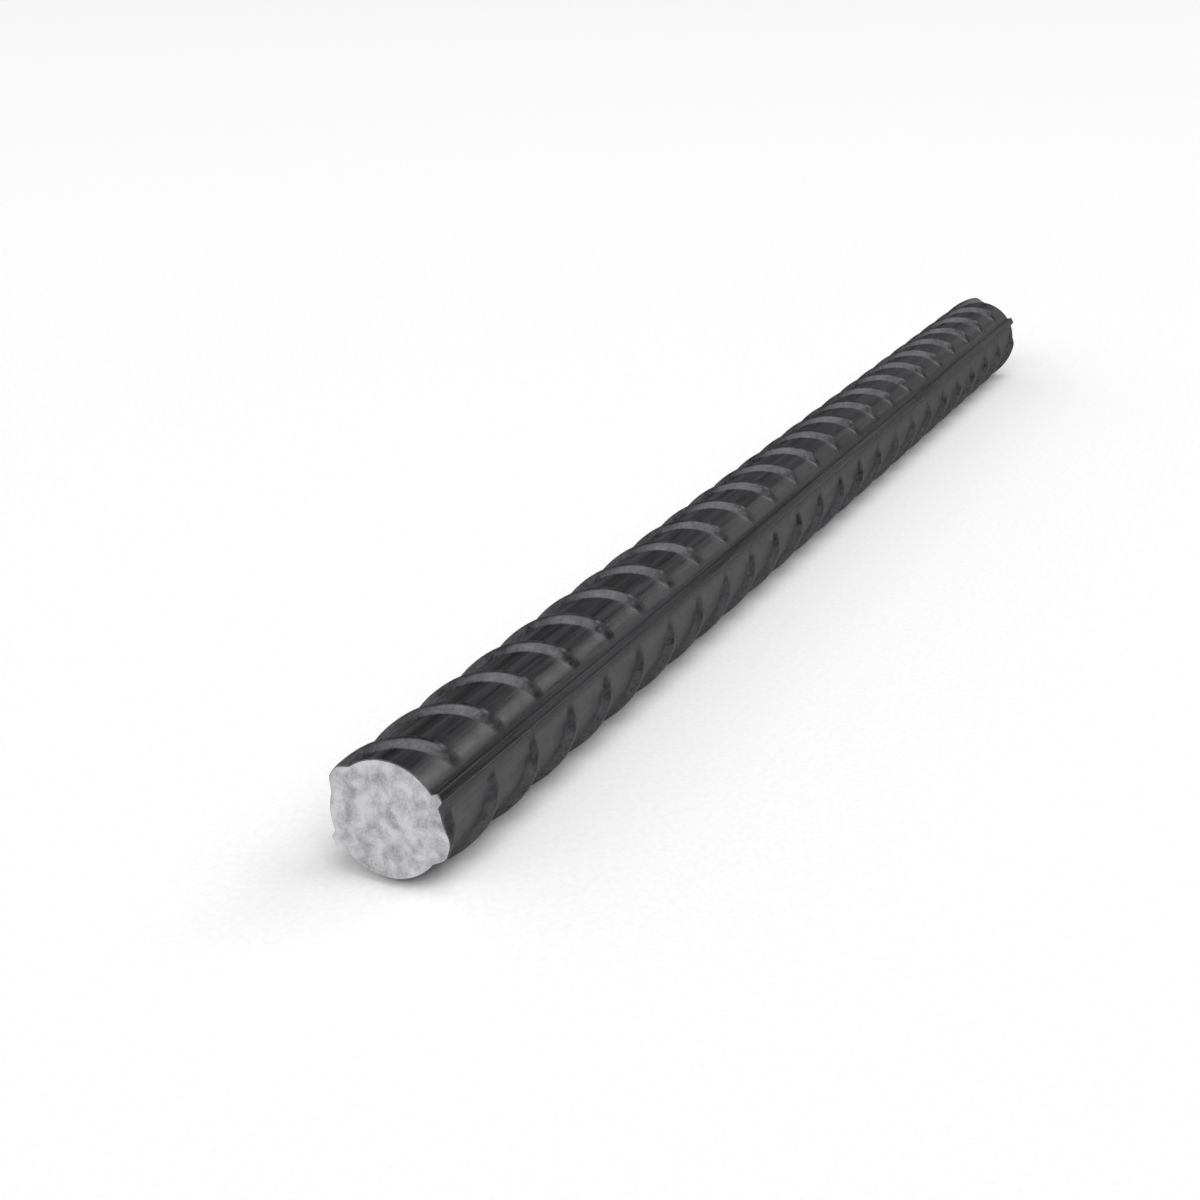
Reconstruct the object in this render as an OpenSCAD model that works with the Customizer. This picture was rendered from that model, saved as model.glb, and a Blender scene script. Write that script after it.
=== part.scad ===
// Hot-rolled ribbed reinforcing bar, lying along X, with the origin on its axis at mid-length.
// The section is a round core with two longitudinal ribs on opposite sides. The slanting
// transverse ribs between them are surface relief and are not part of this solid.

/* [Bar] */
// Length between the two sawn ends
bar_length = 340; // [60:5:1200]
// Diameter of the round core, without any rib
core_diameter = 19.5; // [9.5:0.1:40]

/* [Longitudinal ribs] */
// Height of a longitudinal rib above the core
rib_height = 1.05; // [0.6:0.05:2]
// Width of a longitudinal rib where its flanks leave the core
rib_foot_width = 2.3; // [1.8:0.1:4]
// Width of a longitudinal rib across its crown, corners included
rib_crown_width = 1.4; // [1.1:0.1:1.8]
// Radius of the rolled corners along the crown
rib_corner_radius = 0.3; // [0.1:0.05:0.4]
// Number of longitudinal ribs, spaced evenly round the core
rib_count = 2; // [1:1:4]
// Angle of the first longitudinal rib above the level plane, on the -Y side
rib_angle = 29.5; // [0:0.5:90]

/* [Hidden] */
mill_scale = [0.16, 0.165, 0.17];
core_segments = 96;
corner_segments = 4;

core_radius = core_diameter / 2;
crown_radius = core_radius + rib_height;
half_foot = rib_foot_width / 2;
half_crown = rib_crown_width / 2;
// The foot of a rib starts on the core's surface, half a foot width from the rib's middle.
foot_turn = asin(half_foot / core_radius);
foot_radius = core_radius * cos(foot_turn);
// Lean of a flank from the rib's own axis, and the arc that a rounded corner turns through.
flank_lean = atan((half_foot - half_crown) / (crown_radius - foot_radius));
corner_turn = 90 - flank_lean;
// The flanks run on inside the core, so that rib and core join over a real thickness. On a low
// and wide rib they stop half-way along the chord that they cut, which keeps them inside it.
root_length = min(half_foot, core_radius * cos(flank_lean + foot_turn));
root_radius = foot_radius - root_length * cos(flank_lean);
half_root = half_foot + root_length * sin(flank_lean);
// Middle of the corner's arc, where it touches both the crown and the flank.
corner_across = half_crown - rib_corner_radius * tan(corner_turn / 2);
corner_out = crown_radius - rib_corner_radius;

// Points of one rounded crown corner, from the flank up to the crown. Coordinates are
// [outwards from the bar's axis, across the rib].
function corner_points() = [
    for (i = [0 : corner_segments])
        let (turn = flank_lean + corner_turn * i / corner_segments)
            [corner_out + rib_corner_radius * sin(turn),
             -corner_across - rib_corner_radius * cos(turn)]
];

// Outline of half a rib: from the root up the flank and round the corner to the crown.
function rib_half() = concat([[root_radius, -half_root]], corner_points());

// The same outline on the other side of the rib, followed back down to the root.
function mirrored(points) = [
    for (i = [len(points) - 1 : -1 : 0]) [points[i].x, -points[i].y]
];

// Section of one longitudinal rib, pointing along +X of the section's plane.
module longitudinal_rib_section() {
    polygon(concat(rib_half(), mirrored(rib_half())));
}

// Whole section of the bar, looking along it from its -X end: -Y lies to the right.
module bar_section() {
    circle(r = core_radius, $fn = core_segments);
    for (i = [0 : rib_count - 1])
        rotate(rib_angle + i * 360 / rib_count) longitudinal_rib_section();
}

// The bar: its section carried straight from one sawn end to the other.
module bar() {
    color(mill_scale)
        translate([-bar_length / 2, 0, 0])
            rotate([90, 0, 90])
                mirror([1, 0, 0])
                    linear_extrude(height = bar_length) bar_section();
}

bar();
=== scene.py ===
"""A ribbed reinforcing bar on a pale studio floor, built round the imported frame.

The bar is one closed surface: a round core with two longitudinal ribs and two rows of slanting
transverse ribs between them, broken at both ends by a narrow bevel and a flat sawn face.
Lengths are in metres. The bar lies along X with its axis through the origin, Z is up. Positions on
its surface are given by the distance from its near end (the -X one) and by a turn round its axis,
which starts at -Y and rises towards +Z.
"""
import logging
import math
from dataclasses import dataclass, field
from enum import Enum
from functools import reduce

import bpy
import numpy as np
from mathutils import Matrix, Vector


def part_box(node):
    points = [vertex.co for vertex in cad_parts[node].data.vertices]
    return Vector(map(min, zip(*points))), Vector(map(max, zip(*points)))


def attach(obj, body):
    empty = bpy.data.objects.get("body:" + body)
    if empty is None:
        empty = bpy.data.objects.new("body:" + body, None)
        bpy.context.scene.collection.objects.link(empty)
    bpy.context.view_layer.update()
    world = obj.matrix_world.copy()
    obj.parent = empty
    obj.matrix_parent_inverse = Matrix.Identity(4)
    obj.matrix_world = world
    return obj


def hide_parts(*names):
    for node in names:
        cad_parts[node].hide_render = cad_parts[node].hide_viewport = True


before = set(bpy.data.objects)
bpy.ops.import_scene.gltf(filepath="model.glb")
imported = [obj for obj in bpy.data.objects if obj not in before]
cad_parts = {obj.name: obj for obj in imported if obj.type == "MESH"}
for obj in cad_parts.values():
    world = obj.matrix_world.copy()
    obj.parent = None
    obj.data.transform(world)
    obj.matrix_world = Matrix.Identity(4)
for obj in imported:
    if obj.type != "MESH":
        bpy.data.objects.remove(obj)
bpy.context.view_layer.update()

MM = 0.001
# Name of the point attribute that holds the painted highlight on the cross ribs' flanks.
FLANK_HIGHLIGHT_NAME = "rib_flank_highlight"
SENSOR_WIDTH = 36.0
CLIP_START, CLIP_END = 0.01, 200.0
# Places of the colour sockets on the mix node, which share their names with its other kinds.
MIX_FIRST, MIX_SECOND, MIX_RESULT = 6, 7, 2
FULL_RANGE = (0.0, 1.0)
LOG = logging.getLogger("bar")


class Surface(Enum):
    """The kinds of surface on the bar, numbered as its material slots."""

    ROLLED = 0
    SAWN = 1
    RIM = 2


class End(Enum):
    """The two sawn ends, numbered by the way their faces look along X."""

    NEAR = -1
    FAR = 1


def smooth_step(low: float, high: float, value: np.ndarray) -> np.ndarray:
    """Rises from 0 at low to 1 at high as 3t^2 - 2t^3, flat at both ends.

    Args:
        low: Where the rise starts.
        high: Where the rise ends.
        value: Where it is read.

    Returns:
        The rise at each value.
    """
    share = np.clip((value - low) / (high - low), 0.0, 1.0)
    return share * share * (3.0 - 2.0 * share)


def ramp(low: float, high: float, value: np.ndarray, rounding: float) -> np.ndarray:
    """Rises from 0 at low to 1 at high in a straight line with rounded ends.

    With t the share of the way and w the rounding, it is t^2 / (2 w (1 - w)) up to t = w, then
    (t - w / 2) / (1 - w), and from t = 1 - w on the same curve turned half round.

    Args:
        low: Where the rise starts.
        high: Where the rise ends.
        value: Where it is read.
        rounding: Share of the way that each rounded end takes, at most a half.

    Returns:
        The rise at each value.
    """
    share = np.clip((value - low) / (high - low), 0.0, 1.0)
    near_end = np.minimum(share, 1.0 - share)
    curve = near_end**2 / (2.0 * rounding * (1.0 - rounding))
    line = (near_end - rounding / 2.0) / (1.0 - rounding)
    rise = np.where(near_end < rounding, curve, line)
    return np.where(share < 0.5, rise, 1.0 - rise)


def wrapped(value: np.ndarray, period: float) -> np.ndarray:
    """Brings each value to within half a period of 0 by taking away whole periods."""
    return value - period * np.round(value / period)


@dataclass(frozen=True)
class Waviness:
    """A shallow unevenness that rolling leaves, as a sum of sines along and round the bar."""

    depth: float = 0.012 * MM
    shortest: float = 18 * MM
    longest: float = 90 * MM
    most_lobes: int = 5
    waves: int = 9
    seed: int = 7

    def height(self, along: np.ndarray, turn: np.ndarray) -> np.ndarray:
        """Height = depth * mean of sin(2 pi along / length + lobes * turn + phase) over the waves.

        Args:
            along: Distance from the near end.
            turn: Turn round the axis, in radians.

        Returns:
            The height added to the surface.
        """
        draw = np.random.default_rng(self.seed)
        lengths = draw.uniform(self.shortest, self.longest, self.waves)
        lobes = draw.integers(0, self.most_lobes + 1, self.waves)
        phases = draw.uniform(0.0, 2.0 * math.pi, self.waves)
        angle = (
            2.0 * math.pi * along[..., None] / lengths + lobes * turn[..., None] + phases
        )
        return self.depth * np.sin(angle).mean(axis=-1) * math.sqrt(self.waves)


@dataclass
class RibbedBar:
    """The rolled bar: core, longitudinal ribs, transverse ribs and sawn ends in one surface.

    Crown sizes are measured from a rib's middle line to where its crown ends, and foot sizes to
    where its flank meets the core. Below and above say which side of a longitudinal rib is meant.
    """

    length: float
    core_radius: float = 9.75 * MM

    rib_angle: float = math.radians(29.5)
    long_rib_height: float = 1.05 * MM
    foot_below: float = 1.22 * MM
    crown_below: float = 0.45 * MM
    crown_above: float = 0.78 * MM
    foot_above: float = 1.13 * MM

    cross_rib_height: float = 1.30 * MM
    cross_rib_pitch: float = 13.96 * MM
    cross_rib_crown: float = 0.42 * MM
    cross_rib_foot: float = 1.88 * MM
    flank_rounding: float = 0.22
    slant_reach: float = 6.40 * MM
    upper_start: float = 2.97 * MM
    lower_start: float = -4.19 * MM
    full_height_turn: float = math.radians(54)
    toe_turn: float = math.radians(78)

    # Painted highlight on the cross ribs' flanks: the turn where it is strongest, how far round it
    # fades, how much is left past that, and how soft its edges are at crown and foot. It stands in
    # for light on the flanks that face the lamps.
    highlight_centre: float = math.radians(66)
    highlight_reach: tuple[float, float] = (math.radians(16), math.radians(44))
    least_highlight: float = 0.40
    highlight_fade: float = 0.3

    bevel: float = 0.16 * MM
    columns_open: int = 112
    columns_rib: int = 36
    rib_zone: float = math.radians(8.6)
    lines_across_rib: int = 16
    band_margin: float = 1.06
    lines_between: int = 4
    face_rings: int = 5
    waviness: Waviness = field(default_factory=Waviness)

    def turns(self) -> np.ndarray:
        """Turns of the mesh's columns, once round: close together over the longitudinal ribs.

        Returns:
            The turns in radians, rising, over one whole turn.
        """
        zone = np.linspace(-self.rib_zone, self.rib_zone, self.columns_rib, endpoint=False)
        half_open = self.columns_open // 2
        between = np.linspace(
            self.rib_zone, math.pi - self.rib_zone, half_open, endpoint=False
        )
        half = self.rib_angle + np.concatenate([zone, between])
        return np.concatenate([half, half + math.pi])

    def row_centre(self) -> float:
        """Turn of the upper row's middle, a quarter turn past the first longitudinal rib."""
        return self.rib_angle + math.pi / 2.0

    def row_share(self, turn: np.ndarray) -> np.ndarray:
        """1 in the upper row, 0 in the lower one, with a smooth change across a longitudinal rib.

        Args:
            turn: Turn round the axis.

        Returns:
            The upper row's share: a smooth step in the distance from that row's middle.
        """
        off = np.abs(wrapped(turn - self.row_centre(), 2.0 * math.pi))
        return 1.0 - smooth_step(self.toe_turn, math.pi - self.toe_turn, off)

    def slant(self, turn: np.ndarray) -> np.ndarray:
        """Where a cross rib's crown lies along the bar: start - reach * sin(turn - row's middle).

        Args:
            turn: Turn round the axis.

        Returns:
            Distance of the row's first crown from the near end.
        """
        share = self.row_share(turn)
        start = share * self.upper_start + (1.0 - share) * self.lower_start
        return start - self.slant_reach * np.sin(turn - self.row_centre())

    def lines(self) -> np.ndarray:
        """Distances of the mesh's lines from a crown, over the whole bar and past both ends.

        Returns:
            The distances, rising: close together across each rib and wide apart between ribs.
        """
        half_band = self.cross_rib_foot * self.band_margin
        across = np.linspace(-half_band, half_band, self.lines_across_rib + 1)
        between = np.linspace(
            half_band, self.cross_rib_pitch - half_band, self.lines_between, endpoint=False
        )[1:]
        period = np.concatenate([across, between])
        reach = self.slant_reach + abs(self.lower_start) + self.cross_rib_pitch
        first = -math.ceil(reach / self.cross_rib_pitch)
        last = math.ceil((self.length + reach) / self.cross_rib_pitch)
        starts = np.arange(first, last + 1) * self.cross_rib_pitch
        return (starts[:, None] + period[None, :]).ravel()

    def long_rib(self, turn: np.ndarray) -> np.ndarray:
        """Height of the longitudinal ribs: a smooth rise below, a flat crown, a steep fall above.

        Args:
            turn: Turn round the axis.

        Returns:
            The height over the core.
        """
        arc = wrapped(turn - self.rib_angle, math.pi) * self.core_radius
        rise = smooth_step(-self.foot_below, -self.crown_below, arc)
        fall = 1.0 - smooth_step(self.crown_above, self.foot_above, arc)
        return self.long_rib_height * rise * fall

    def crescent(self, turn: np.ndarray) -> np.ndarray:
        """Share of full height along a cross rib: 1 in the middle, smoothly down to 0 at its toes.

        Args:
            turn: Turn round the axis.

        Returns:
            The share of the cross ribs' height.
        """
        off = np.abs(wrapped(turn - self.row_centre(), math.pi))
        return 1.0 - smooth_step(self.full_height_turn, self.toe_turn, off)

    def cross_rib(self, turn: np.ndarray, along: np.ndarray) -> np.ndarray:
        """Height of the cross ribs: crescent * (1 - rounded ramp from crown to foot).

        Args:
            turn: Turn round the axis.
            along: Distance from the near end.

        Returns:
            The height over the core.
        """
        away = np.abs(wrapped(along - self.slant(turn), self.cross_rib_pitch))
        flank = ramp(self.cross_rib_crown, self.cross_rib_foot, away, self.flank_rounding)
        section = 1.0 - flank
        return self.cross_rib_height * self.crescent(turn) * section

    def flank_highlight_share(self, turn: np.ndarray, along: np.ndarray) -> np.ndarray:
        """Share of painted highlight: 1 on the cross ribs' flanks, 0 on their crowns and on the
        core between them.

        Args:
            turn: Turn round the axis.
            along: Distance from the near end.

        Returns:
            Rise past the crown * fall at the foot * crescent * how strong the painted highlight is
            at that turn.
        """
        away = np.abs(wrapped(along - self.slant(turn), self.cross_rib_pitch))
        fade = self.highlight_fade * (self.cross_rib_foot - self.cross_rib_crown)
        inside = smooth_step(self.cross_rib_crown, self.cross_rib_crown + fade, away)
        outside = smooth_step(self.cross_rib_foot - fade, self.cross_rib_foot, away)
        # The painted highlight fades with the turn away from the flanks that face the lamps.
        off = np.abs(wrapped(turn - self.highlight_centre, math.pi))
        highlight_strength = 1.0 - (1.0 - self.least_highlight) * smooth_step(*self.highlight_reach, off)
        return inside * (1.0 - outside) * self.crescent(turn) * highlight_strength

    def radius(self, turn: np.ndarray, along: np.ndarray) -> np.ndarray:
        """Distance of the surface from the axis: core + longitudinal ribs + cross ribs + waviness.

        Args:
            turn: Turn round the axis.
            along: Distance from the near end.

        Returns:
            The radius.
        """
        ribs = self.long_rib(turn) + self.cross_rib(turn, along)
        return self.core_radius + ribs + self.waviness.height(along, turn)

    def place(self, turn: np.ndarray, along: np.ndarray, radius: np.ndarray) -> np.ndarray:
        """Point of the surface: (along - length / 2, -radius cos turn, radius sin turn).

        Args:
            turn: Turn round the axis.
            along: Distance from the near end.
            radius: Distance from the axis.

        Returns:
            The points, one row of three each.
        """
        turn, along, radius = np.broadcast_arrays(turn, along, radius)
        x = along - self.length / 2.0
        return np.stack([x, -radius * np.cos(turn), radius * np.sin(turn)], -1).reshape(-1, 3)

    def skin(self) -> tuple[np.ndarray, np.ndarray, np.ndarray, np.ndarray, np.ndarray]:
        """The rolled surface between the two bevels, as triangles.

        Lines follow the cross ribs, so each runs past the ends on one side of the bar. What lies
        past an end is drawn back to it, and a column's points there become one point.

        Returns:
            The points, their shares of painted flank highlight, the triangles, and the numbers of
            the points round each end.
        """
        turn = self.turns()[None, :]
        along = self.lines()[:, None] + self.slant(turn)
        low, high = self.bevel, self.length - self.bevel
        rows, columns = along.shape
        line = np.broadcast_to(np.arange(rows)[:, None], along.shape)
        last_before = np.where(along <= low, line, 0).max(axis=0)
        first_after = np.where(along >= high, line, rows - 1).min(axis=0)
        kept_line = np.clip(line, last_before, first_after)
        along = np.clip(along, low, high)
        points = self.place(turn, along, self.radius(turn, along))
        flank = self.flank_highlight_share(turn, along).ravel()
        triangles = self.net(kept_line * columns + np.arange(columns)[None, :])
        first, second, third = triangles.T
        whole = (first != second) & (second != third) & (third != first)
        near = last_before * columns + np.arange(columns)
        far = first_after * columns + np.arange(columns)
        return points, flank, triangles[whole], near, far

    def sawn_end(self, end: End, first: int) -> tuple[np.ndarray, np.ndarray, np.ndarray]:
        """The flat face of one end: rings that shrink from the bevel's inner edge to the middle.

        Args:
            end: Which end.
            first: Number that the first new point gets.

        Returns:
            The points, the triangles of the face, and the numbers of its outer ring.
        """
        turn = self.turns()
        along = self.bevel if end is End.NEAR else self.length - self.bevel
        face = 0.0 if end is End.NEAR else self.length
        rim = self.radius(turn, np.full_like(turn, along)) - self.bevel
        shares = np.linspace(1.0, 0.0, self.face_rings, endpoint=False)
        rings = self.place(turn[None, :], face, shares[:, None] * rim[None, :])
        middle = self.place(np.zeros(1), face, np.zeros(1))
        columns = len(turn)
        number = first + np.arange(self.face_rings * columns).reshape(self.face_rings, -1)
        pole = np.full(columns, first + self.face_rings * columns)
        fan = np.stack([number[-1], pole, np.roll(number[-1], -1)], -1)
        triangles = np.concatenate([self.net(number), fan])
        if end is End.NEAR:
            triangles = triangles[:, ::-1]
        return np.concatenate([rings, middle]), triangles, number[0]

    @staticmethod
    def net(number: np.ndarray) -> np.ndarray:
        """Triangles of a net that closes round the bar: each of its squares is cut in two.

        Args:
            number: Point numbers, a line of the net in each row.

        Returns:
            The triangles, the first halves before the second ones.
        """
        beside = np.roll(number, -1, axis=1)
        corners = [number[:-1], number[1:], beside[1:], beside[:-1]]
        squares = np.stack(corners, -1).reshape(-1, 4)
        return np.concatenate([squares[:, [0, 1, 2]], squares[:, [0, 2, 3]]])

    @staticmethod
    def band(inner: np.ndarray, outer: np.ndarray) -> np.ndarray:
        """Triangles of a closed band between two rings of as many points.

        Args:
            inner: Point numbers of the ring at lower X.
            outer: Point numbers of the ring at higher X.

        Returns:
            The triangles, which face away from the axis.
        """
        next_inner, next_outer = np.roll(inner, -1), np.roll(outer, -1)
        return np.concatenate(
            [
                np.stack([inner, outer, next_outer], -1),
                np.stack([inner, next_outer, next_inner], -1),
            ]
        )

    @staticmethod
    def sharpen(mesh: bpy.types.Mesh, rings: list[np.ndarray]) -> None:
        """Marks the edges that run along any of the rings as sharp.

        Args:
            mesh: The mesh.
            rings: Point numbers of each ring.
        """
        ends = np.empty(2 * len(mesh.edges), np.int32)
        mesh.edges.foreach_get("vertices", ends)
        ends = ends.reshape(-1, 2)
        sharp = np.zeros(len(ends), bool)
        for ring in rings:
            sharp |= np.isin(ends, ring).all(axis=1)
        mesh.attributes.new("sharp_edge", "BOOLEAN", "EDGE").data.foreach_set("value", sharp)

    def build(self) -> bpy.types.Object:
        """Makes the whole bar as one closed mesh.

        Returns:
            The bar's object, at the origin.
        """
        skin, flank, triangles, near_rim, far_rim = self.skin()
        near, near_face, near_ring = self.sawn_end(End.NEAR, len(skin))
        far, far_face, far_ring = self.sawn_end(End.FAR, len(skin) + len(near))
        near_bevel = self.band(near_ring, near_rim)
        far_bevel = self.band(far_rim, far_ring)
        points = np.concatenate([skin, near, far])
        parts = [triangles, near_bevel, far_bevel, near_face, far_face]
        kinds = [Surface.ROLLED, Surface.RIM, Surface.RIM, Surface.SAWN, Surface.SAWN]
        faces = np.concatenate(parts)
        slots = np.concatenate(
            [np.full(len(part), kind.value) for part, kind in zip(parts, kinds)]
        )
        used, numbers = np.unique(faces, return_inverse=True)
        mesh = bpy.data.meshes.new("bar_surface")
        mesh.from_pydata(points[used].tolist(), [], numbers.reshape(-1, 3).tolist())
        mesh.polygons.foreach_set("material_index", slots.astype(np.int32))
        mesh.polygons.foreach_set("use_smooth", np.ones(len(faces), bool))
        mesh.update()
        # Painted highlight on the cross ribs' flanks; none on the sawn faces.
        highlight_share = np.concatenate([flank, np.zeros(len(near) + len(far))])[used]
        mesh.attributes.new(FLANK_HIGHLIGHT_NAME, "FLOAT", "POINT").data.foreach_set("value", highlight_share)
        rings = [np.searchsorted(used, ring) for ring in (near_rim, near_ring, far_rim, far_ring)]
        self.sharpen(mesh, rings)
        piece = bpy.data.objects.new("ribbed_bar", mesh)
        bpy.context.scene.collection.objects.link(piece)
        return piece


@dataclass(frozen=True)
class Pattern:
    """Cloudy noise: blotches in a metre along X, Y and Z, finer layers, and how far it drags."""

    per_metre: tuple[float, float, float]
    detail: float
    twist: float = 0.0


class Nodes:
    """A node tree with short calls for the few kinds of node that the finishes use."""

    def __init__(self, tree: bpy.types.NodeTree) -> None:
        """Empties the tree and keeps it."""
        tree.nodes.clear()
        self.tree = tree

    def add(self, kind: str, **settings: object) -> bpy.types.Node:
        """Adds a node and sets its properties.

        Args:
            kind: Blender's name for the kind of node.
            **settings: Properties to set on it.

        Returns:
            The new node.
        """
        node = self.tree.nodes.new(kind)
        for name, value in settings.items():
            setattr(node, name, value)
        return node

    def wire(self, socket: bpy.types.NodeSocket, value: object) -> None:
        """Links a socket to value where that is a socket, and sets it otherwise.

        Args:
            socket: The socket that takes the value.
            value: Another socket, or a plain value.
        """
        if isinstance(value, bpy.types.NodeSocket):
            self.tree.links.new(value, socket)
        else:
            socket.default_value = value

    def maths(self, operation: str, first: object, second: object) -> bpy.types.NodeSocket:
        """The result of one sum or product of two values.

        Args:
            operation: Blender's name for the sum.
            first: The first value or socket.
            second: The second value or socket.

        Returns:
            The socket with the result.
        """
        node = self.add("ShaderNodeMath", operation=operation)
        self.wire(node.inputs[0], first)
        self.wire(node.inputs[1], second)
        return node.outputs[0]

    def cloud(self, pattern: Pattern) -> bpy.types.NodeSocket:
        """Cloudy noise in the object's own coordinates, about 0.5 on average.

        Args:
            pattern: The noise's sizes.

        Returns:
            The socket with the noise.
        """
        point = self.add("ShaderNodeTexCoord").outputs["Object"]
        stretch = self.add("ShaderNodeMapping")
        self.wire(stretch.inputs["Vector"], point)
        self.wire(stretch.inputs["Scale"], pattern.per_metre)
        noise = self.add("ShaderNodeTexNoise")
        self.wire(noise.inputs["Vector"], stretch.outputs["Vector"])
        self.wire(noise.inputs["Scale"], 1.0)
        self.wire(noise.inputs["Detail"], pattern.detail)
        self.wire(noise.inputs["Distortion"], pattern.twist)
        return noise.outputs["Fac"]

    def blend(
        self, layers: tuple[bpy.types.NodeSocket, ...], weights: tuple[float, ...]
    ) -> bpy.types.NodeSocket:
        """Sum of layer * weight over the layers.

        Args:
            layers: The layers' sockets.
            weights: Their weights, in the same order.

        Returns:
            The socket with the sum.
        """
        parts = [self.maths("MULTIPLY", *pair) for pair in zip(layers, weights)]
        return reduce(lambda total, part: self.maths("ADD", total, part), parts)

    def spread(
        self,
        value: bpy.types.NodeSocket,
        source: tuple[float, float],
        to: tuple[float, float] = FULL_RANGE,
    ) -> bpy.types.NodeSocket:
        """Stretches one range of a value to another and holds it there.

        Args:
            value: The socket to stretch.
            source: The range it has.
            to: The range it gets.

        Returns:
            The socket with the stretched value.
        """
        node = self.add("ShaderNodeMapRange", clamp=True)
        for name, given in zip(
            ("Value", "From Min", "From Max", "To Min", "To Max"), (value, *source, *to)
        ):
            self.wire(node.inputs[name], given)
        return node.outputs["Result"]

    def colours(
        self,
        share: bpy.types.NodeSocket,
        first: object,
        second: object,
    ) -> bpy.types.NodeSocket:
        """A colour between two.

        Args:
            share: Socket that is 0 for the first colour and 1 for the second.
            first: The first colour, or its socket.
            second: The second colour, or its socket.

        Returns:
            The socket with the colour.
        """
        node = self.add("ShaderNodeMix", data_type="RGBA")
        self.wire(node.inputs["Factor"], share)
        for place, given in ((MIX_FIRST, first), (MIX_SECOND, second)):
            opaque = (*given, 1.0) if isinstance(given, tuple) else given
            self.wire(node.inputs[place], opaque)
        return node.outputs[MIX_RESULT]

    def relief(self, height: bpy.types.NodeSocket, depth: float) -> bpy.types.NodeSocket:
        """A bumpy normal.

        Args:
            height: Socket with the height, where 1 stands for the whole depth.
            depth: The depth in metres.

        Returns:
            The socket with the normal.
        """
        node = self.add("ShaderNodeBump")
        self.wire(node.inputs["Height"], height)
        self.wire(node.inputs["Distance"], depth)
        return node.outputs["Normal"]

    def finish(self, **inputs: object) -> None:
        """Makes the surface shader and the output.

        Args:
            **inputs: The shader's inputs, with _ for a space in their names.
        """
        shader = self.add("ShaderNodeBsdfPrincipled")
        for name, value in inputs.items():
            self.wire(shader.inputs[name.replace("_", " ")], value)
        out = self.add("ShaderNodeOutputMaterial")
        self.wire(out.inputs["Surface"], shader.outputs["BSDF"])


def new_material(name: str) -> tuple[bpy.types.Material, Nodes]:
    """Makes an empty material.

    Args:
        name: The material's name.

    Returns:
        The material and its nodes.
    """
    made = bpy.data.materials.new(name)
    made.use_nodes = True
    return made, Nodes(made.node_tree)


@dataclass(frozen=True)
class MillScale:
    """Dark scale on rolled steel: streaked along the bar, mottled, and finely grained, with a
    painted highlight on the cross ribs' flanks.

    A mix holds the weights of the patterns that it is made of, and a range is the part of a mix
    that is stretched out.
    """

    dark: tuple[float, float, float] = (0.008, 0.008, 0.0087)
    light: tuple[float, float, float] = (0.038, 0.038, 0.0412)
    # Colour of the painted highlight on the cross ribs' flanks.
    flank: tuple[float, float, float] = (0.108, 0.108, 0.115)
    gloss_index: float = 1.47
    smooth: float = 0.26
    rough: float = 0.42
    dull_edge: float = 0.46
    wide_streaks: Pattern = Pattern((14.0, 560.0, 560.0), 3.0)
    thin_streaks: Pattern = Pattern((60.0, 1900.0, 1900.0), 2.0)
    blotches: Pattern = Pattern((420.0, 520.0, 520.0), 4.0, 0.6)
    grain: Pattern = Pattern((2600.0, 2600.0, 2600.0), 1.0)
    tone_mix: tuple[float, float, float] = (0.60, 0.32, 0.08)
    tone_range: tuple[float, float] = (0.40, 0.61)
    # Mottle of the painted flank highlight, and the least of it that is left.
    highlight_mottle_mix: tuple[float, float, float] = (0.30, 0.60, 0.10)
    highlight_mottle_range: tuple[float, float] = (0.39, 0.61)
    least_highlight_mottle: float = 0.2
    gloss_mix: tuple[float, float, float] = (0.45, 0.20, 0.35)
    gloss_range: tuple[float, float] = (0.38, 0.62)
    edge_range: tuple[float, float] = (0.50, 0.95)
    height_mix: tuple[float, float, float] = (0.65, 0.25, 0.10)
    depth: float = 0.014 * MM

    def material(self) -> bpy.types.Material:
        """Makes the finish's material, with its colour, roughness and relief from its patterns.

        Returns:
            The material.
        """
        made, nodes = new_material("mill_scale")
        wide = nodes.cloud(self.wide_streaks)
        thin = nodes.cloud(self.thin_streaks)
        blotch = nodes.cloud(self.blotches)
        grain = nodes.cloud(self.grain)
        tone = nodes.blend((wide, thin, grain), self.tone_mix)
        highlight_mottle = nodes.blend((thin, blotch, grain), self.highlight_mottle_mix)
        gloss = nodes.blend((wide, thin, blotch), self.gloss_mix)
        height = nodes.blend((thin, blotch, grain), self.height_mix)
        skin = nodes.colours(nodes.spread(tone, self.tone_range), self.dark, self.light)
        # The lighter flank colour is a painted highlight, mottled by noise.
        flank = nodes.add("ShaderNodeAttribute", attribute_name=FLANK_HIGHLIGHT_NAME).outputs["Fac"]
        highlight_strength = nodes.spread(highlight_mottle, self.highlight_mottle_range, (self.least_highlight_mottle, 1.0))
        painted_highlight_share = nodes.maths("MULTIPLY", flank, highlight_strength)
        sheen = nodes.spread(gloss, self.gloss_range, (self.smooth, self.rough))
        facing = nodes.add("ShaderNodeLayerWeight").outputs["Facing"]
        edge = nodes.spread(facing, self.edge_range, (0.0, self.dull_edge))
        nodes.finish(
            Base_Color=nodes.colours(painted_highlight_share, skin, self.flank),
            Roughness=nodes.maths("ADD", sheen, edge),
            IOR=self.gloss_index,
            Normal=nodes.relief(height, self.depth),
        )
        return made


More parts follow.
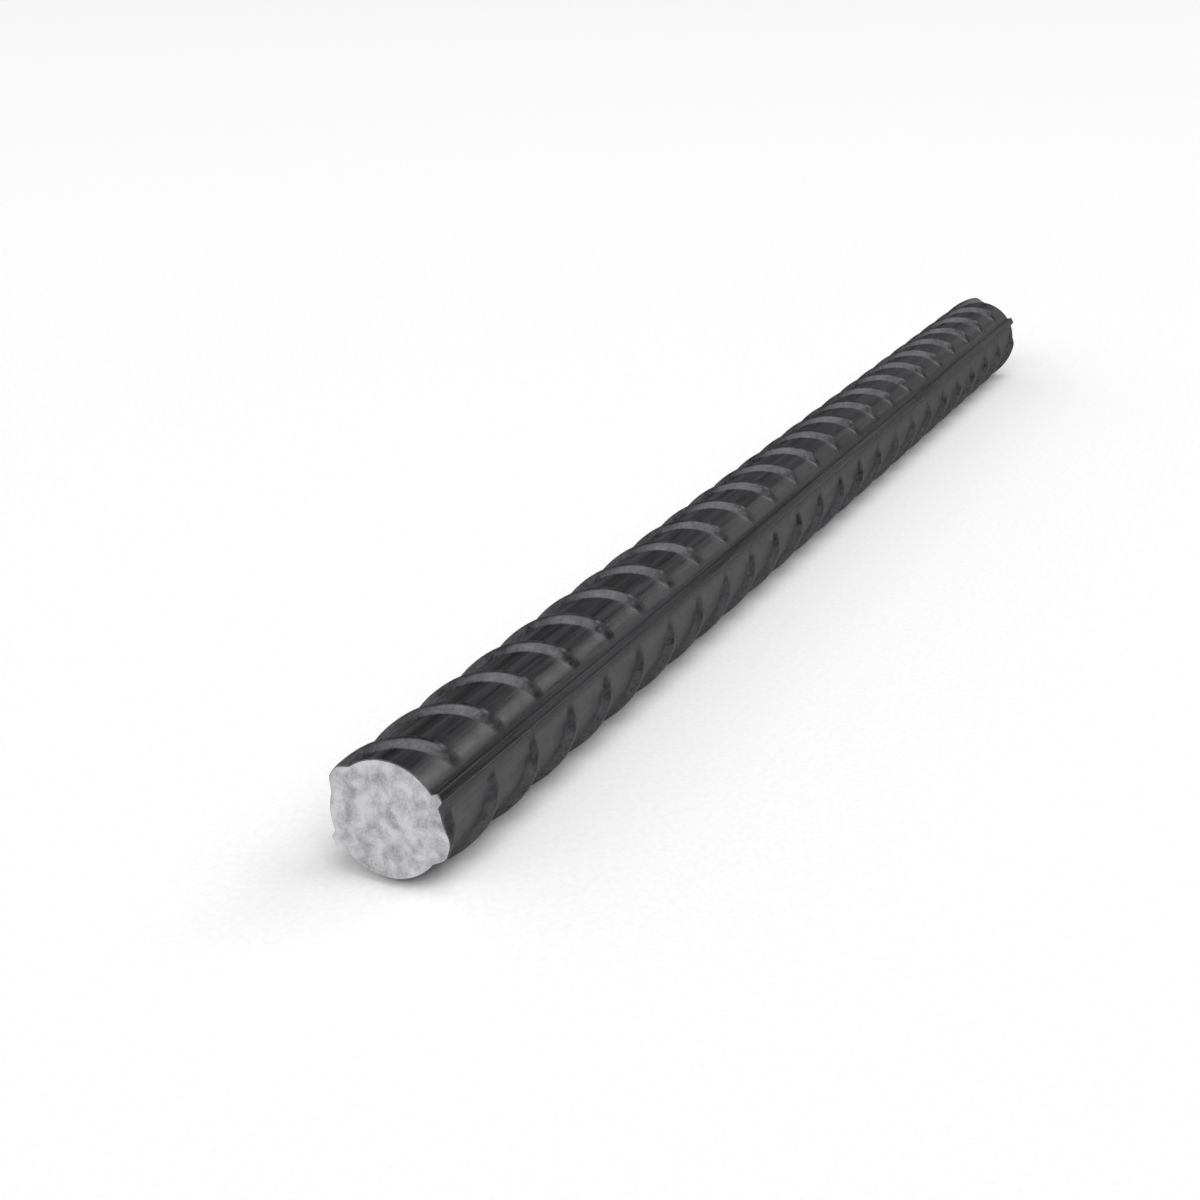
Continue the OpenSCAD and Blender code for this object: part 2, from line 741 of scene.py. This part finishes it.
@dataclass(frozen=True)
class SawnSteel:
    """Pale cut steel: cloudy, with a fine grain."""

    dark: tuple[float, float, float] = (0.260, 0.260, 0.267)
    light: tuple[float, float, float] = (0.520, 0.520, 0.530)
    smooth: float = 0.45
    rough: float = 0.65
    clouds: Pattern = Pattern((400.0, 400.0, 400.0), 3.0, 0.3)
    grain: Pattern = Pattern((2600.0, 2600.0, 2600.0), 2.0)
    tone_mix: tuple[float, float] = (0.75, 0.25)
    tone_range: tuple[float, float] = (0.36, 0.60)
    gloss_range: tuple[float, float] = (0.35, 0.65)
    depth: float = 0.02 * MM

    def material(self) -> bpy.types.Material:
        """Makes the finish's material, with its colour, roughness and relief from its patterns.

        Returns:
            The material.
        """
        made, nodes = new_material("sawn_steel")
        cloud = nodes.cloud(self.clouds)
        grain = nodes.cloud(self.grain)
        tone = nodes.spread(nodes.blend((cloud, grain), self.tone_mix), self.tone_range)
        nodes.finish(
            Base_Color=nodes.colours(tone, self.dark, self.light),
            Roughness=nodes.spread(grain, self.gloss_range, (self.smooth, self.rough)),
            Normal=nodes.relief(grain, self.depth),
        )
        return made


@dataclass(frozen=True)
class RimSteel:
    """Grey steel of the narrow bevel, between the dark scale and the pale cut."""

    dark: tuple[float, float, float] = (0.04, 0.04, 0.042)
    light: tuple[float, float, float] = (0.10, 0.10, 0.104)
    smooth: float = 0.40
    rough: float = 0.60
    flecks: Pattern = Pattern((1500.0, 1500.0, 1500.0), 3.0)
    fleck_range: tuple[float, float] = (0.35, 0.65)
    depth: float = 0.02 * MM

    def material(self) -> bpy.types.Material:
        """Makes the finish's material, with its colour, roughness and relief from its patterns.

        Returns:
            The material.
        """
        made, nodes = new_material("rim_steel")
        fleck = nodes.cloud(self.flecks)
        tone = nodes.spread(fleck, self.fleck_range)
        nodes.finish(
            Base_Color=nodes.colours(tone, self.dark, self.light),
            Roughness=nodes.spread(fleck, self.fleck_range, (self.smooth, self.rough)),
            Normal=nodes.relief(fleck, self.depth),
        )
        return made


@dataclass(frozen=True)
class FloorPaper:
    """Matt white paper with a faint grain. It is clear from below, so the bar shows from there."""

    dark: tuple[float, float, float] = (0.885, 0.885, 0.885)
    light: tuple[float, float, float] = (0.915, 0.915, 0.915)
    fibres: Pattern = Pattern((900.0, 900.0, 900.0), 3.0)
    tone_range: tuple[float, float] = (0.35, 0.65)
    gloss_range: tuple[float, float] = (0.3, 0.7)
    smooth: float = 0.1
    rough: float = 0.3
    depth: float = 0.01 * MM

    def material(self) -> bpy.types.Material:
        """Makes the finish's material, with its colour, roughness and relief from its patterns.

        Returns:
            The material.
        """
        made, nodes = new_material("floor_paper")
        fibre = nodes.cloud(self.fibres)
        paper = nodes.add("ShaderNodeBsdfDiffuse")
        tone = nodes.spread(fibre, self.tone_range)
        gloss = nodes.spread(fibre, self.gloss_range, (self.smooth, self.rough))
        nodes.wire(paper.inputs["Color"], nodes.colours(tone, self.dark, self.light))
        nodes.wire(paper.inputs["Roughness"], gloss)
        nodes.wire(paper.inputs["Normal"], nodes.relief(fibre, self.depth))
        sides = nodes.add("ShaderNodeMixShader")
        nodes.wire(sides.inputs[0], nodes.add("ShaderNodeNewGeometry").outputs["Backfacing"])
        nodes.wire(sides.inputs[1], paper.outputs["BSDF"])
        nodes.wire(sides.inputs[2], nodes.add("ShaderNodeBsdfTransparent").outputs["BSDF"])
        out = nodes.add("ShaderNodeOutputMaterial")
        nodes.wire(out.inputs["Surface"], sides.outputs["Shader"])
        return made


@dataclass(frozen=True)
class SoftPanel:
    """A rectangular soft light that faces the bar's middle from a given direction.

    Angles are in degrees: azimuth from +X towards +Y, elevation above the level, and width and
    height as they are seen from the bar. A panel with a glow of 1 would itself look just white.
    """

    name: str
    azimuth: float
    elevation: float
    width: float
    height: float
    glow: float
    distance: float = 14.0

    def build(self) -> bpy.types.Object:
        """Makes the lamp. A side is twice the distance times the tangent of half its angle.

        Returns:
            The lamp's object.
        """
        lamp = bpy.data.lights.new(self.name, "AREA")
        lamp.shape = "RECTANGLE"
        lamp.size = 2.0 * self.distance * math.tan(math.radians(self.width) / 2.0)
        lamp.size_y = 2.0 * self.distance * math.tan(math.radians(self.height) / 2.0)
        lamp.energy = self.glow * math.pi * lamp.size * lamp.size_y
        piece = bpy.data.objects.new(self.name, lamp)
        turn, rise = math.radians(self.azimuth), math.radians(self.elevation)
        piece.location = (
            self.distance * math.cos(rise) * math.cos(turn),
            self.distance * math.cos(rise) * math.sin(turn),
            self.distance * math.sin(rise),
        )
        piece.rotation_euler = (math.pi / 2.0 - rise, 0.0, turn + math.pi / 2.0)
        piece.visible_camera = False
        bpy.context.scene.collection.objects.link(piece)
        return piece


@dataclass(frozen=True)
class Studio:
    """The pale floor, the soft lights and the camera.

    The camera stands at stand, looks down by pitch, and turns by heading from +X towards +Y.
    """

    floor_height: float
    floor_half: float = 9.0
    lens: float = 61.13
    pitch: float = math.radians(20.732)
    heading: float = math.radians(24.644)
    stand: tuple[float, float, float] = (-0.40305, -0.14180, 0.13744)
    dim: float = 0.09
    panels: tuple[SoftPanel, ...] = (
        SoftPanel("front_panel", 168.0, 28.0, 46.0, 30.0, 2.9),
        SoftPanel("near_panel", 208.0, 46.0, 44.0, 38.0, 2.4),
        SoftPanel("side_panel", 309.0, 44.0, 50.0, 26.0, 2.0),
        SoftPanel("low_side_panel", 328.0, 33.0, 22.0, 15.0, 2.9),
        SoftPanel("overhead_panel", 256.0, 76.0, 36.0, 28.0, 2.8),
        SoftPanel("far_panel", 96.0, 27.0, 70.0, 34.0, 0.95),
    )

    def floor(self) -> bpy.types.Object:
        """Makes the floor.

        Returns:
            The floor's object, a square under the bar.
        """
        half, z = self.floor_half, self.floor_height
        corners = [(-half, -half, z), (half, -half, z), (half, half, z), (-half, half, z)]
        mesh = bpy.data.meshes.new("floor")
        mesh.from_pydata(corners, [], [(0, 1, 2, 3)])
        piece = bpy.data.objects.new("floor", mesh)
        bpy.context.scene.collection.objects.link(piece)
        mesh.materials.append(FloorPaper().material())
        return piece

    def lights(self) -> None:
        """Makes the soft panels and the room's dim glow, which the camera sees as white."""
        world = bpy.data.worlds.new("studio")
        bpy.context.scene.world = world
        world.use_nodes = True
        nodes = Nodes(world.node_tree)
        path = nodes.add("ShaderNodeLightPath")
        pick = nodes.add("ShaderNodeMix", data_type="FLOAT")
        nodes.wire(pick.inputs["Factor"], path.outputs["Is Camera Ray"])
        nodes.wire(pick.inputs["A"], self.dim)
        nodes.wire(pick.inputs["B"], 1.0)
        glow = nodes.add("ShaderNodeBackground")
        nodes.wire(glow.inputs["Color"], (1.0, 1.0, 1.0, 1.0))
        nodes.wire(glow.inputs["Strength"], pick.outputs["Result"])
        out = nodes.add("ShaderNodeOutputWorld")
        nodes.wire(out.inputs["Surface"], glow.outputs["Background"])
        for panel in self.panels:
            panel.build()

    def camera(self) -> None:
        """Makes the camera and hands it to the scene."""
        data = bpy.data.cameras.new("camera")
        data.lens = self.lens
        data.sensor_width = SENSOR_WIDTH
        data.clip_start, data.clip_end = CLIP_START, CLIP_END
        piece = bpy.data.objects.new("camera", data)
        piece.location = self.stand
        piece.rotation_euler = (
            math.pi / 2.0 - self.pitch,
            0.0,
            self.heading - math.pi / 2.0,
        )
        bpy.context.scene.collection.objects.link(piece)
        bpy.context.scene.camera = piece


def main() -> None:
    """Builds the camera, the bar and the studio, and logs the bar's triangle count."""
    logging.basicConfig(level=logging.INFO, format="%(message)s")
    low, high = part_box("bar")
    bar = RibbedBar(length=high[0] - low[0])
    studio = Studio(floor_height=-(bar.core_radius + bar.cross_rib_height))
    studio.camera()
    piece = bar.build()
    finishes = {
        Surface.ROLLED: MillScale(),
        Surface.SAWN: SawnSteel(),
        Surface.RIM: RimSteel(),
    }
    for surface in Surface:
        piece.data.materials.append(finishes[surface].material())
    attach(piece, "root")
    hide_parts("bar")
    LOG.info("%s: %d triangles", piece.name, len(piece.data.polygons))
    studio.floor()
    studio.lights()
    bpy.context.scene.view_settings.view_transform = "Standard"


if __name__ == "__main__":
    main()
